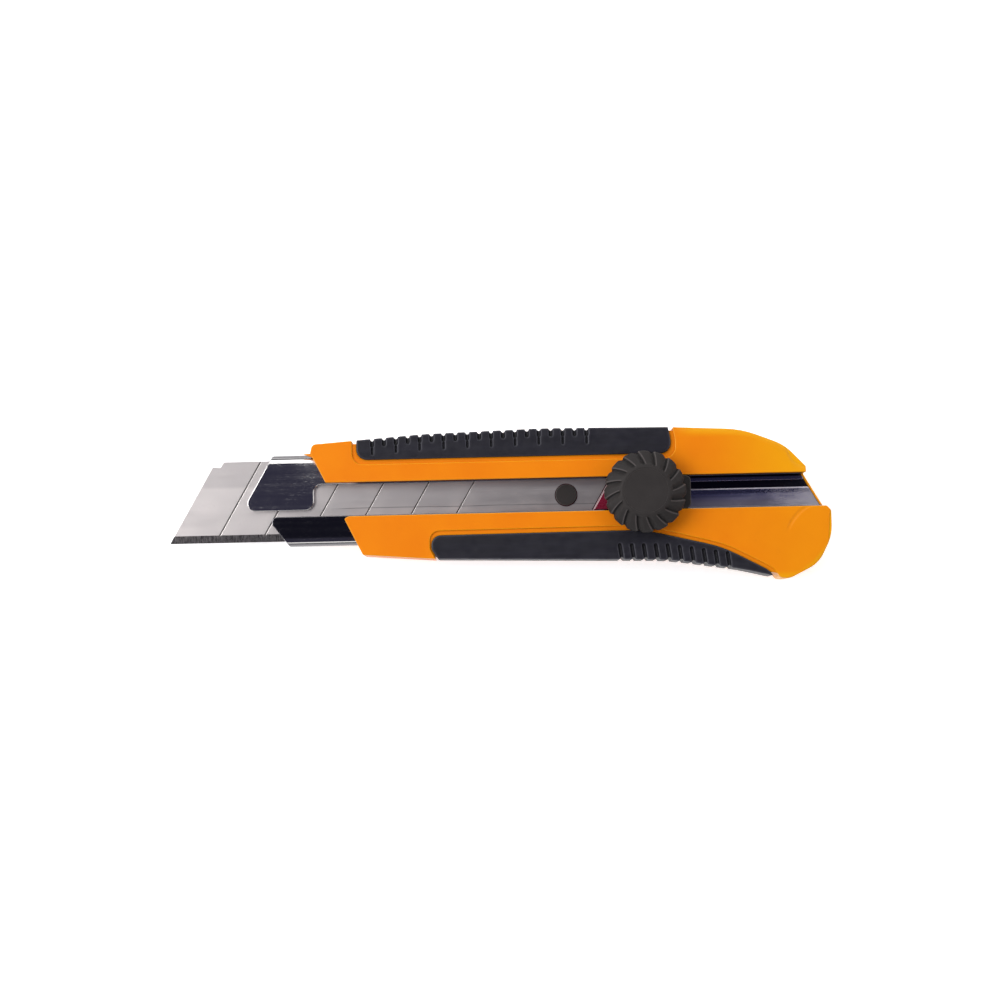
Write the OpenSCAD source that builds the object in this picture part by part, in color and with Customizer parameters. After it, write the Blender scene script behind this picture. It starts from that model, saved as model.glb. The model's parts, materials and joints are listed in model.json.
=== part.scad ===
// Heavy-duty utility knife: a snap-off blade in a folded steel channel, locked by a screw knob.
// The knife lies on its back. +X runs from the blade tip to the heel, +Y towards the spine of
// the blade and +Z up towards the knob. The origin is the middle of the handle, on the centre
// line of the channel, in the plane that the back cover rests on. Sizes are in millimetres.

/* [Blade] */
// Width of the blade, from the cutting edge to the spine
blade_w = 25; // [20:0.5:30]
// Thickness of the blade
blade_t = 0.7; // [0.5:0.05:0.9]
// Length of the blade along its centre line
blade_len = 126; // [105:1:135]
// Distance between two score lines
score_pitch = 14.05; // [11:0.05:15]
// Number of score lines
score_count = 6; // [4:1:8]
// Width of the score lines
score_w = 0.55; // [0.3:0.05:0.9]
// Depth of the score lines
score_d = 0.16; // [0.1:0.02:0.24]
// Angle of the score lines and of both ends of the blade
blade_angle = 60; // [50:1:70]
// Height of the ground bevel
bevel_h = 2.4; // [1:0.1:4]
// Diameter of the hole that the stud holds the blade by
blade_hole_d = 7; // [5:0.1:8]
// From that hole's centre to the blade's rear end, on the centre line
blade_hole_in = 10.6; // [8:0.1:14]

/* [Blade channel] */
// Thickness of the channel's steel sheet
sheet = 1.2; // [0.8:0.1:1.6]
// Clear height inside the channel
channel_depth = 3.4; // [3:0.1:4]
// Gap between the blade and each side of the channel
blade_side_gap = 0.4; // [0.2:0.05:0.8]
// Gap between the blade and the lips
blade_lip_gap = 0.1; // [0.05:0.05:0.3]
// Width of the slot between the lips
lip_slot = 9.8; // [8:0.1:12]
// Outer radius of the channel's bends
bend_r = 1.6; // [1.3:0.1:2.2]
// How far the channel's front edge, on the centre line, stands out of the handle
channel_out = 19.9; // [12:0.1:26]
// How far the upper lip reaches past the slot's edge at the mouth
flag_reach = 7.9; // [4:0.1:9]
// Length of the reaching part of the upper lip
flag_len = 20.6; // [14:0.1:24]
// Height of the channel's underside above the rest plane
channel_z = 8; // [7:0.1:10]

/* [Handle] */
// Length of the handle
handle_len = 160; // [130:1:195]
// Wall beside the channel at the nose
nose_wall = 3; // [2.5:0.1:4]
// Wall beside the channel at the crown of the handle, over the upper grip
crown_wall = 6.4; // [5.6:0.1:8]
// Wall beside the channel along the lower grip
belly_wall = 6.2; // [5.6:0.1:8]
// Depth of the heel below the channel
heel_wall = 13; // [11:0.1:16]
// Thickness of the rails over the channel's lips
rail_t = 2.6; // [2:0.1:3.5]
// Width of the slot between the rails
rail_slot = 10.5; // [9:0.1:13]
// Thickness of the moulded walls
wall = 2.2; // [1.6:0.1:2.8]
// Thickness of the back cover
cover_t = 2; // [1.6:0.1:2.6]

/* [Grips] */
// Thickness of the rubber skins
grip_t = 1.8; // [1.4:0.1:2.2]
// How far the grips stand proud of the rails
grip_proud = 0.4; // [0.2:0.1:0.6]
// Width of the ledge around each grip
ledge_w = 1.4; // [1:0.1:2]
// Depth of that ledge on the face
ledge_d = 0.5; // [0.3:0.1:0.8]
// Depth of that ledge on the handle's side
ledge_side = 1; // [0.4:0.1:1.2]
// Distance from one rib to the next
rib_pitch = 3.67; // [3:0.01:5]
// Width of the gap between two ribs
gap_w = 1.1; // [0.8:0.1:1.6]
// Depth of that gap down the grip's side
gap_d = 0.7; // [0.4:0.1:0.9]
// Height of the ribs on the face
rib_h = 1; // [0.6:0.1:1.2]
// Length of the upper grip's ribs on the face
upper_rib_len = 2.6; // [1.6:0.1:3.2]
// Length of the lower grip's ribs on the face
lower_rib_len = 5; // [3:0.1:6]

/* [Slider and lock] */
// From the knob's axis to the heel end of the handle, as drawn
knob_from_heel = 57.4; // [50:0.1:70]
// From the knob's axis forward to the stud
stud_ahead = 24; // [22:0.1:28]
// Diameter of the stud
stud_d = 6.6; // [4.6:0.1:7.4]
// Gap between sliding faces
slide_gap = 0.1; // [0.05:0.05:0.2]
// Outer diameter of the clamp bolt
bolt_d = 6; // [5:0.5:6]
// Radial clearance of a running fit
run_fit = 0.05; // [0.02:0.01:0.08]
// Travel of the knob from locked to free, one turn of the thread
knob_lift = 1; // [0.8:0.1:1.2]

/* [Knob] */
// Diameter of the knob
knob_d = 25; // [22:0.1:30]
// Height of the knob
knob_h = 8.4; // [8:0.1:10]
// Number of lobes around the knob
knob_lobes = 16; // [12:1:24]
// Diameter of the flat cap in the knob's middle
cap_d = 13.6; // [12:0.1:15]

/* [Fasteners] */
// Thread diameter of the cover screws
screw_d = 2.6; // [2.2:0.1:3]
// Diameter of the channel's rivets
rivet_d = 2.5; // [2:0.1:3]

/* [Hidden] */
$fn = 64;

orange = [0.92, 0.5, 0.09];
grip_black = [0.17, 0.16, 0.19];
knob_grey = [0.22, 0.21, 0.2];
crimson = [0.6, 0.05, 0.2];
steel = [0.75, 0.75, 0.76];
bright_steel = [0.5, 0.5, 0.55];
brass = [0.8, 0.65, 0.3];

eps = 0.01;          // overrun that keeps cuts clean
seat_gap = 0.1;      // clearance of the channel in the handle
far = 300;           // longer than the knife
arc_step = 8;        // largest turn between two points of a rounded corner, in degrees

// Places along X
nose_x = -handle_len / 2;
heel_x = handle_len / 2;
mouth_x = nose_x - channel_out;
knob_x = heel_x - knob_from_heel;
stud_x = knob_x - stud_ahead;
blade_end = stud_x + blade_hole_in;

// Places along Y, as half widths
channel_y = blade_w / 2 + blade_side_gap + sheet;
lip_y = lip_slot / 2;
rail_y = rail_slot / 2;
grip_y = channel_y - 2.1;

// Heights
floor_z = channel_z + sheet;
lip_z = floor_z + channel_depth;
channel_top = lip_z + sheet;
rail_z = channel_top + seat_gap + rail_t;
grip_z = rail_z + grip_proud;
web_z = channel_z - seat_gap - wall;
blade_z = lip_z - blade_lip_gap - blade_t;

// How far a slanted line of the blade shifts along X at height y
function slant(y) = y / tan(blade_angle);

// ---- Outline helpers ----
function unit(v) = v / norm(v);

// The arc that rounds corner b between a and c, or b itself if the radius is 0
function corner(a, b, c, r) =
    r <= 0 ? [b] :
    let (u = unit(a - b), v = unit(c - b), half = acos(u * v) / 2)
    let (centre = b + unit(u + v) * r / sin(half))
    let (from = b + u * r / tan(half) - centre, to = b + v * r / tan(half) - centre)
    let (start = atan2(from.y, from.x), end = atan2(to.y, to.x))
    let (turn = (end - start + 540) % 360 - 180, steps = 1 + ceil(abs(turn) / arc_step))
    [for (k = [0:steps]) centre + r * [cos(start + turn * k / steps), sin(start + turn * k / steps)]];

// A closed outline from corners [x, y, radius]
function rounded(c) = [
    for (i = [0:len(c) - 1])
        let (a = c[(i + len(c) - 1) % len(c)], b = c[i], d = c[(i + 1) % len(c)])
        each corner([a.x, a.y], [b.x, b.y], [d.x, d.y], b.z)
];

module slab(z0, z1) {
    translate([0, 0, z0]) linear_extrude(z1 - z0) children();
}

// A bar between x0 and x1 that spans y0 to y1 and z0 to z1
module bar(x0, x1, y0, y1, z0, z1) {
    translate([x0, y0, z0]) cube([x1 - x0, y1 - y0, z1 - z0]);
}

module ring(outer, inner, z0, z1) {
    slab(z0, z1) difference() {
        circle(r = outer);
        circle(r = inner);
    }
}

// ---- Outline of the handle ----
// Along the spine side, from the nose to the crown and on to the rear
spine_line = [
    [nose_x + 0.6, channel_y + nose_wall, 1.6],
    [nose_x + 35, channel_y + crown_wall - 1, 100],
    [nose_x + 72, channel_y + crown_wall, 200],
    [heel_x - 49, channel_y + crown_wall - 0.5, 60],
    [heel_x - 27, channel_y + crown_wall - 1.6, 30],
    [heel_x - 14, channel_y - 0.3, 15]
];
// Along the belly side, from the nose to the heel
belly_line = [
    [nose_x + 15.7, -channel_y - nose_wall - 0.2, 0.8],
    [nose_x + 38, -channel_y - belly_wall + 1.3, 60],
    [nose_x + 110, -channel_y - belly_wall - 0.5, 80],
    [heel_x - 28, -channel_y - belly_wall - 3.9, 60],
    [heel_x - 13.8, -channel_y - heel_wall - 0.5, 5]
];
heel_line = [
    [heel_x - 4.4, -channel_y - heel_wall + 4.2, 10],
    [heel_x - 0.1, -channel_y - 0.4, 14],
    [heel_x - 0.1, -rail_y - 1.4, 1.6],
    [heel_x - 1.8, -rail_y + 0.3, 0.8]
];
tail_corner = [heel_x - 7.5, rail_y - 0.3, 0.5];

// Height of such a line at x, without the rounding
function edge_y(x, line) = lookup(x, [for (p = line) [p.x, p.y]]);
handle_corners = concat(
    [[nose_x, channel_y + 0.4, 0.3]],
    spine_line,
    [[heel_x - 7.6, rail_y + 1.8, 0.8], tail_corner],
    [for (i = [len(heel_line) - 1:-1:0]) heel_line[i]],
    [for (i = [len(belly_line) - 1:-1:0]) belly_line[i]]
);
module handle_area(inset = 0) {
    offset(delta = -inset) polygon(rounded(handle_corners));
}

// Areas that the grips cover on the face, grown by the ledge around them
module upper_grip_area(grow = 0) {
    front = nose_x + 14.3 - grow;
    rear = heel_x - 49 + grow;
    inner = grip_y - grow;
    outer = channel_y + crown_wall + 5;
    polygon(rounded([
        [front, outer, 0],
        [front, inner, 3.2],
        [rear, inner, 3.2],
        [rear, channel_y + 2, 4],
        [rear - 1.6, outer, 0]
    ]));
}
module lower_grip_area(grow = 0) {
    front = nose_x + 36.8 - grow / 3;
    inner = -grip_y + 0.2 + grow;
    outer = -channel_y - heel_wall - 5;
    polygon(rounded([
        [front + 5.2, -channel_y - 10, 0],
        [front, -channel_y - 2, 2],
        [front, inner, 3],
        [nose_x + 102, inner + 0.3, 40],
        [heel_x - 34 + grow, -channel_y - 3.1 + grow / 2, 40],
        [heel_x - 20 + grow, -channel_y - 10.5 + grow / 2, 6],
        [heel_x - 16.6 + grow, -channel_y - heel_wall - 1.5, 0],
        [heel_x - 16.6 + grow, outer, 0],
        [front + 10, outer, 0]
    ]));
}

// ---- The channel's outline, seen from above ----
mouth_top = mouth_x + slant(channel_y);
mouth_low = mouth_x + 12.9;
mouth_r = 0.5;
rear_edge = 0.8;     // edge of the handle that shows behind the channel's open end
channel_rear = [
    [heel_line[3].x - rear_edge, -channel_y, 0],
    [heel_line[3].x - rear_edge, -lip_y, 0],
    [tail_corner.x - rear_edge, lip_y, 0],
    [heel_x - 20.5, channel_y, 0]
];
module channel_area() {
    polygon(rounded(concat([
        [mouth_top, channel_y, mouth_r],
        [mouth_x, 0, 3],
        [mouth_x + 5.8, -lip_y, 3],
        [mouth_low, -channel_y, mouth_r]
    ], channel_rear)));
}
// The upper lip, with the flag that guides the blade at the mouth
module upper_lip_area() {
    flag_y = lip_y - flag_reach;
    flag_x = mouth_x + flag_len;
    polygon(rounded([
        [mouth_top, channel_y, mouth_r],
        [mouth_x + slant(flag_y), flag_y, 2.5],
        [flag_x, flag_y, 2.8],
        [flag_x, lip_y, 2.4],
        channel_rear[2],
        channel_rear[3]
    ]));
}
module lower_lip_area() {
    polygon(rounded([
        [mouth_x + 5.8, -lip_y, 1.7],
        [mouth_low, -channel_y, mouth_r],
        channel_rear[0],
        channel_rear[1]
    ]));
}

// ---- Fixed places of the fasteners ----
rivet_xs = [nose_x + 30, heel_x - 62];
screw_places = [for (x = [nose_x + 22, heel_x - 28], side = [-1, 1]) [x, side * 8.5]];
boss_r = screw_d / 2 + wall;
screw_head_r = screw_d;
screw_head_h = 1.2;

module at_screws() {
    for (p = screw_places) translate([p.x, p.y, 0]) children();
}
module at_rivets() {
    for (x = rivet_xs) translate([x, 0, 0]) children();
}

// One-piece handle moulding: two rails over the channel's lips, a web below it, and
// recesses that the rubber grips sit in. The back is cored and takes the cover.
module handle_body() {
    color(orange) difference() {
        union() {
            slab(cover_t, rail_z) handle_area();
            nose_fence();
        }
        channel_seat();
        slab(rail_z - ledge_d, rail_z + 1) upper_grip_area(ledge_w);
        slab(rail_z - ledge_d, rail_z + 1) lower_grip_area(ledge_w);
        slab(rail_z - grip_t, rail_z + 1) upper_grip_area();
        slab(rail_z - grip_t, rail_z + 1) lower_grip_area();
        side_ledges();
        slab(0, rail_z + 1) skin_area(grip_t) upper_grip_area();
        slab(0, rail_z + 1) skin_area(grip_t) lower_grip_area();
        back_core();
        at_screws() cylinder(h = channel_z - 1, r = screw_d / 2);
        at_rivets() cylinder(h = channel_z, r = rivet_d / 2);
    }
}

// The steps beside the grips down the handle's side
module side_ledges() {
    slab(-1, rail_z + 1) skin_area(ledge_side) upper_grip_area(ledge_w);
    slab(-1, rail_z + 1) skin_area(ledge_side) lower_grip_area(ledge_w);
}

// A band of the given depth along the handle's edge, within the area given as a child
module skin_area(depth) {
    intersection() {
        difference() {
            handle_area(-1);
            handle_area(depth);
        }
        children();
    }
}

// The small point ahead of the nose that keeps the channel's edge covered
module nose_fence() {
    slab(channel_top + seat_gap, channel_top + 1.2) polygon([
        [nose_x - 2.3, channel_y + 0.2],
        [nose_x + 1, channel_y + 0.8],
        [nose_x + 1, channel_y - 1.2]
    ]);
}

// The space for the channel, the slot between the rails and the way out at the nose
module channel_seat() {
    slab(channel_z - seat_gap, channel_top + seat_gap) offset(delta = seat_gap) channel_area();
    bar(nose_x - 5, nose_x + 30, -channel_y - seat_gap, channel_y + seat_gap,
        channel_z - seat_gap, channel_top + seat_gap);
    bar(-far, far, -rail_y, rail_y, floor_z, rail_z + 1);
    slab(channel_top, rail_z + 1) rail_corner_cut();
}

// Rounds the lower rail's front corner
module rail_corner_cut() {
    r = 2.4;
    x = nose_x + 12.1;
    translate([x, -rail_y - r]) difference() {
        translate([-far, 0]) square([far, r + eps]);
        circle(r = r);
        translate([-far, -far]) square([2 * far, far]);
    }
}

// Hollows that lighten the moulding from the back, around the bosses of the screws
module back_core() {
    difference() {
        slab(cover_t - 1, web_z) handle_area(grip_t + wall);
        at_screws() cylinder(h = channel_z, r = boss_r);
    }
    slab(cover_t - 1, rail_z - wall) intersection() {
        handle_area(grip_t + wall);
        translate([heel_x - 26, -far - channel_y - seat_gap - wall]) square([far, far]);
    }
}

// Flat plate that closes the back and that the knife rests on
module back_cover() {
    color(orange) difference() {
        union() {
            slab(0, cover_t) handle_area();
            cover_rim();
        }
        side_ledges();
        at_screws() cylinder(h = cover_t + 1, r = screw_d / 2 + 0.2);
        at_screws() translate([0, 0, -1]) cylinder(h = 1 + screw_head_h + 0.1, r = screw_head_r + 0.2);
    }
}

// A rim that locates the cover inside the handle's walls
module cover_rim() {
    inset = grip_t + wall + seat_gap;
    slab(cover_t - 0.5, cover_t + 1.2) difference() {
        handle_area(inset);
        handle_area(inset + 1.2);
        for (p = screw_places) translate(p) circle(r = boss_r + seat_gap);
    }
}

// Self-tapping screws that hold the cover
module cover_screws() {
    color(steel) at_screws() difference() {
        union() {
            translate([0, 0, 0.1]) cylinder(h = screw_head_h, r = screw_head_r);
            translate([0, 0, 0.1]) cylinder(h = channel_z - 1.6, r = screw_d / 2);
        }
        for (turn = [0, 90]) rotate(turn) bar(-1.4, 1.4, -0.3, 0.3, 0, 0.8);
    }
}

// ---- Grips ----
slit_w = 0.7;
slit_d = 0.8;
slit_len = 2.4;
rib_lean = 8;        // how far the lower grip's ribs lean, in degrees

// Ribbed rubber insert along the spine side
module upper_grip() {
    first = nose_x + 19.15;
    last = heel_x - 74.7;
    count = floor((last - first) / rib_pitch);
    color(grip_black) difference() {
        grip_skin() upper_grip_area();
        for (k = [0:count]) {
            x = first + k * rib_pitch;
            translate([x, edge_y(x, spine_line), 0]) {
                rib_gap(upper_rib_len);
                if (k % 2 == 0)
                    bar(-slit_w / 2, slit_w / 2, -upper_rib_len - slit_len, -upper_rib_len,
                        grip_z - slit_d, grip_z + 1);
            }
        }
    }
}

// Rubber insert along the belly side, ribbed where the little finger rests
module lower_grip() {
    first = heel_x - 64.8;
    last = heel_x - 31;
    count = floor((last - first) / rib_pitch);
    color(grip_black) difference() {
        grip_skin() lower_grip_area();
        for (k = [0:count]) {
            x = first + k * rib_pitch;
            translate([x, edge_y(x, belly_line), 0]) rotate(180 + rib_lean) rib_gap(lower_rib_len);
        }
    }
}

// A grip: a sheet on the face joined to a skin down the handle's side
module grip_skin() {
    slab(rail_z - grip_t, grip_z) intersection() {
        handle_area();
        children();
    }
    slab(cover_t, rail_z) intersection() {
        skin_area(grip_t) children();
        handle_area();
    }
}

// The gap between two ribs: shallow down the side and reaching inwards on the face
module rib_gap(reach) {
    gap_cut(gap_d, 0);
    gap_cut(reach, grip_z - rib_h);
}
module gap_cut(reach, z) {
    slab(z, grip_z + 1) translate([0, gap_w / 2 - reach]) {
        circle(d = gap_w);
        translate([-gap_w / 2, 0]) square([gap_w, reach + 3]);
    }
}

// Folded stainless channel with its lips turned in over the blade
module blade_channel() {
    color(bright_steel) difference() {
        union() {
            intersection() {
                channel_tube();
                slab(0, rail_z) channel_area_with_lips();
            }
            mouth_pads();
        }
        slab(lip_z - eps, rail_z) difference() {
            square(2 * far, center = true);
            upper_lip_area();
            lower_lip_area();
        }
        slab(0, lip_z - eps) difference() {
            square(2 * far, center = true);
            channel_area();
        }
        at_rivets() rivet_shape();
        floor_groove();
    }
}

// A groove pressed along the floor behind the rivets, which stiffens the open end
groove_y = 1.1;
groove_w = 2.3;
module floor_groove() {
    bar(rivet_xs[1] + 6, far, groove_y, groove_y + groove_w, floor_z - sheet / 3, floor_z + 1);
}
module channel_area_with_lips() {
    channel_area();
    upper_lip_area();
    lower_lip_area();
}

// The sheet folded round to a closed box, before the slot is cut
module channel_tube() {
    translate([-far / 2, 0, 0]) rotate([90, 0, 90]) linear_extrude(far) difference() {
        rounded_box(channel_y, channel_z, channel_top, bend_r);
        rounded_box(channel_y - sheet, floor_z, lip_z, bend_r - sheet);
    }
}
module rounded_box(half, z0, z1, r) {
    polygon(rounded([[-half, z0, r], [half, z0, r], [half, z1, r], [-half, z1, r]]));
}

// Two pads pressed up from the floor, which hold the blade against the lips at the mouth
pad_in = 14;         // from the mouth to the pads
pad_len = 6;
pad_w = 5;
pad_y = 7;           // from the centre line to the middle of a pad
module mouth_pads() {
    for (side = [-1, 1])
        bar(mouth_x + pad_in, mouth_x + pad_in + pad_len, side * pad_y - pad_w / 2,
            side * pad_y + pad_w / 2, floor_z - eps, blade_z - slide_gap);
}

// Countersunk rivets that fix the channel's floor to the handle's web
module channel_rivets() {
    color(steel) at_rivets() rivet_shape();
}
module rivet_shape() {
    head = 0.9;
    tail = 0.8;
    translate([0, 0, web_z - tail / 2]) cylinder(h = floor_z - web_z + tail / 2, r = rivet_d / 2);
    translate([0, 0, floor_z - head]) cylinder(h = head, r1 = rivet_d / 2, r2 = rivet_d / 2 + head);
    translate([0, 0, web_z - tail]) cylinder(h = tail, r = rivet_d / 2 + head);
}

// Snap-off blade: scored, bevelled along its edge, with its worn corner broken away
module blade() {
    half = blade_w / 2;
    tip = blade_end - blade_len;
    broken = 1.5;        // how far down the worn corner is broken away
    color(steel) difference() {
        intersection() {
            translate([tip - 20, 0, blade_z]) rotate([90, 0, 90]) linear_extrude(blade_len + 40)
                polygon([[half, 0], [half, blade_t], [-half + bevel_h, blade_t],
                         [-half, blade_t / 2], [-half + bevel_h, 0]]);
            slab(0, rail_z) polygon([
                [tip + slant(-half), -half],
                [tip + slant(half - broken), half - broken],
                [tip + slant(half - broken) + 2.4, half - broken - 0.2],
                [tip + slant(half) + 2.6, half],
                [blade_end + slant(half), half],
                [blade_end + slant(-half), -half]
            ]);
        }
        for (k = [1:score_count])
            translate([tip + k * score_pitch, 0, blade_z + blade_t])
                rotate([90, 0, 90 + blade_angle]) linear_extrude(2 * blade_w, center = true)
                    polygon([[-score_w / 2, eps], [0, -score_d], [score_w / 2, eps]]);
        translate([stud_x, 0, 0]) cylinder(h = rail_z, r = blade_hole_d / 2);
    }
}

// ---- Slider and lock: heights of the stack ----
tongue_t = 1.6;
slider_z = floor_z + slide_gap;
slider_top = lip_z - slide_gap;
key_top = channel_top - 0.2;
key_y = lip_y - 0.2;
tongue_z = blade_z - tongue_t;
spring_t = 0.3;
plate_z = key_top + 1.4;
flange_z = rail_z + slide_gap / 2;
flange_r = grip_y - 1.3;   // bears on the rails and stays inside the grips
plate_top = flange_z + 0.8;
wave_t = 0.35;
thrust_t = 0.5;
washer_top = plate_top + wave_t + thrust_t;
knob_z = plate_top + 0.25;
knob_top = knob_z + knob_h;
cap_t = 1;
insert_r = bolt_d / 2 + 1.75;
neck_r = bolt_d / 2 + 0.9;
insert_top = knob_top - cap_t - knob_lift - 1.6;
clip_t = 0.6;
clip_z = insert_top + knob_lift + 0.2;
bolt_top = knob_top - cap_t - 0.3;
bolt_head = 10;
bolt_head_t = 2;

// Runner in the channel: a tongue under the blade, a block behind it and a key in the slot
module slider() {
    half = blade_w / 2 - 0.1;
    front = blade_end + 0.3;
    rear = knob_x + 13.4;
    taper = 12;          // length over which the rear end narrows
    tongue_y = 9;        // half the tongue's width
    color(crimson) difference() {
        union() {
            slab(slider_z, slider_top) polygon(rounded([
                [front + slant(half), half, 0.5],
                [rear - taper, half, 1],
                [rear, key_y, 1],
                [rear, -key_y, 1],
                [rear - taper, -half, 1],
                [front + slant(-half), -half, 0.5]
            ]));
            slab(slider_top - 0.5, key_top) polygon([
                [front + slant(key_y) + 0.3, key_y],
                [rear - 1.2, key_y],
                [rear - 1.2, -key_y],
                [front + slant(-key_y) + 0.3, -key_y]
            ]);
            bar(stud_x - 8, front + 12, -tongue_y, tongue_y, tongue_z, blade_z);
        }
        translate([stud_x, 0, 0]) cylinder(h = rail_z, r = stud_d / 3);
        translate([knob_x, 0, 0]) cylinder(h = rail_z, r = bolt_d / 2 + 0.1);
        translate([knob_x, 0, 0]) slab(0, slider_z + bolt_head_t + 0.1) square(bolt_head + 0.2, center = true);
    }
}

// Pin that carries the blade, riveted through the tongue and the spring
module blade_stud() {
    color(knob_grey) translate([stud_x, 0, 0]) {
        slab(blade_z, lip_z + 0.5) circle(r = stud_d / 2);
        slab(tongue_z - spring_t - 0.4, blade_z) circle(r = stud_d / 3);
        slab(tongue_z - spring_t - 0.4, tongue_z - spring_t) circle(r = stud_d / 3 + 0.6);
    }
}

// Leaf under the tongue that keeps the slider from rattling in the channel
module leaf_spring() {
    low = floor_z + slide_gap + spring_t;
    line = [[stud_x + 7, tongue_z], [stud_x - 3.4, tongue_z], [stud_x - 10, low], [stud_x - 12.5, low + 0.3]];
    color(steel) difference() {
        rotate([90, 0, 0]) linear_extrude(8, center = true) polygon(concat(
            line,
            [for (i = [len(line) - 1:-1:0]) line[i] - [0, spring_t]]
        ));
        translate([stud_x, 0, 0]) cylinder(h = rail_z, r = stud_d / 3);
    }
}

// Square-headed bolt that stands in the slider and can't turn
module clamp_bolt() {
    color(steel) translate([knob_x, 0, 0]) difference() {
        union() {
            slab(slider_z + 0.05, slider_z + bolt_head_t) square(bolt_head, center = true);
            slab(slider_z + 1, bolt_top) circle(r = bolt_d / 2);
        }
        ring(bolt_d, bolt_d / 2 - 0.5, clip_z, clip_z + clip_t);
    }
}

// Spring clip near the bolt's end, which stops the knob after one turn
module retaining_clip() {
    color(steel) translate([knob_x, 0, 0]) slab(clip_z, clip_z + clip_t) difference() {
        circle(r = bolt_d / 2 + 1.4);
        circle(r = bolt_d / 2 - 0.5);
        translate([0, -1.1]) square([far, 2.2]);
    }
}

// Plate between the rails with a round flange that bears on them
module clamp_plate() {
    half = rail_y - 0.2;
    front = -10.8;
    rear = 14.3;
    color(knob_grey) translate([knob_x, 0, 0]) difference() {
        union() {
            slab(plate_z, flange_z + 0.1) polygon(rounded([
                [front, half, 1],
                [rear, half, 1.6],
                [rear, -half, 1.6],
                [front, -half, 1]
            ]));
            slab(flange_z, plate_top) circle(r = flange_r);
        }
        cylinder(h = knob_top, r = neck_r + run_fit);
    }
}

// Spring washer that keeps the knob from shaking loose
module wave_washer() {
    color(steel) translate([knob_x, 0, 0]) ring(insert_r + 2.4, neck_r + 0.2, plate_top, plate_top + wave_t);
}

// Nylon washer that the knob turns on
module thrust_washer() {
    color("ivory") translate([knob_x, 0, 0])
        ring(insert_r + 2.4, neck_r + 0.2, plate_top + wave_t, washer_top);
}

// Brass nut of the knob: its neck turns in the clamp plate and its collar carries the plate up
module threaded_insert() {
    color(brass) translate([knob_x, 0, 0]) difference() {
        union() {
            slab(plate_z - 1, plate_z - slide_gap) circle(r = neck_r + 0.8);
            slab(plate_z - 1, insert_top) circle(r = neck_r);
            slab(washer_top + run_fit, insert_top) circle(r = insert_r);
        }
        cylinder(h = knob_top, r = bolt_d / 2 + run_fit);
    }
}

// Lobed knob, sloping from its cap to its rim
module knob() {
    r = knob_d / 2;
    step = 360 / knob_lobes;
    color(knob_grey) translate([knob_x, 0, 0]) difference() {
        intersection() {
            rotate_extrude() polygon([
                [0, knob_z], [r - 0.6, knob_z], [r, knob_z + 0.6],
                [r, knob_top - 3.2], [cap_d / 2 + 0.6, knob_top], [0, knob_top]
            ]);
            slab(0, knob_top) difference() {
                circle(r = r);
                for (k = [0:knob_lobes - 1]) rotate(k * step) translate([r + 0.1, 0]) circle(r = 0.65);
            }
        }
        slab(0, washer_top + run_fit) circle(r = insert_r + 2.6);
        slab(0, insert_top) circle(r = insert_r);
        slab(insert_top - eps, knob_top) circle(r = bolt_d / 2 + 2);
        slab(knob_top - cap_t, knob_top + 1) circle(r = cap_d / 2);
    }
}

// Flat cap that closes the knob's middle
module knob_cap() {
    color(knob_grey) translate([knob_x, 0, 0]) slab(knob_top - cap_t, knob_top) circle(r = cap_d / 2);
}

handle_body();
back_cover();
cover_screws();
upper_grip();
lower_grip();
blade_channel();
channel_rivets();
blade();
slider();
blade_stud();
leaf_spring();
clamp_bolt();
retaining_clip();
clamp_plate();
wave_washer();
thrust_washer();
threaded_insert();
knob();
knob_cap();
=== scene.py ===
# %% [markdown]
# # A snap-off utility knife, finished in Blender
# The engineering model of this knife is done: every part has its size, its place and its joint.
# This script dresses it. Each part is either kept and given a real finish, or replaced by a finer
# mesh that fills the same space, so that nothing moves away from where the mechanism needs it.

# %% Load the engineering frame
import json
import math

import bmesh
import bpy
from mathutils import Matrix, Vector, geometry

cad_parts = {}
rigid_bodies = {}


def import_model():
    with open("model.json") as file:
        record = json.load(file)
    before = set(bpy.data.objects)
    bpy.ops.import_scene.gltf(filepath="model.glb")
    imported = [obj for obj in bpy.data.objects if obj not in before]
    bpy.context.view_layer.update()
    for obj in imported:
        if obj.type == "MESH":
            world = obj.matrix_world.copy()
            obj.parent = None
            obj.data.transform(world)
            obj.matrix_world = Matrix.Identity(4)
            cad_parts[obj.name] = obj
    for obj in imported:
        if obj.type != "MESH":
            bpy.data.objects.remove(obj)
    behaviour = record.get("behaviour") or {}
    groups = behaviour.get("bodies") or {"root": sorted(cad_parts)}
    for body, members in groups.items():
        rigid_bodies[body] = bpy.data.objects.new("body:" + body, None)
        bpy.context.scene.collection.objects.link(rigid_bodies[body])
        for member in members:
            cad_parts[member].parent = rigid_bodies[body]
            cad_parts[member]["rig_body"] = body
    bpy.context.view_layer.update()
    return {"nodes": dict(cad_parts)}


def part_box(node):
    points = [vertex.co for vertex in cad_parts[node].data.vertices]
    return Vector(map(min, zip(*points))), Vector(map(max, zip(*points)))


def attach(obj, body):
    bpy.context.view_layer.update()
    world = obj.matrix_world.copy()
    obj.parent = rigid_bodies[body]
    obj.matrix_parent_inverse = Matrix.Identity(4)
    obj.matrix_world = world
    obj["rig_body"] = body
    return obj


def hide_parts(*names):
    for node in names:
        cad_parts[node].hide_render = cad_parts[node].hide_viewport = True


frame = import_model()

MM = 0.001
nodes = frame["nodes"]


def span(node):
    """Lowest and highest corners of a part, in millimetres."""
    low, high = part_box(node)
    return low / MM, high / MM


# %% [markdown]
# ## The studio
# A tool like this is best shown lying on white, from straight above, with large soft lights
# around it and a dark ceiling. The dark ceiling matters most: a polished steel channel shows
# whatever hangs over it, so a bright one would turn it into white paper.

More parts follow.
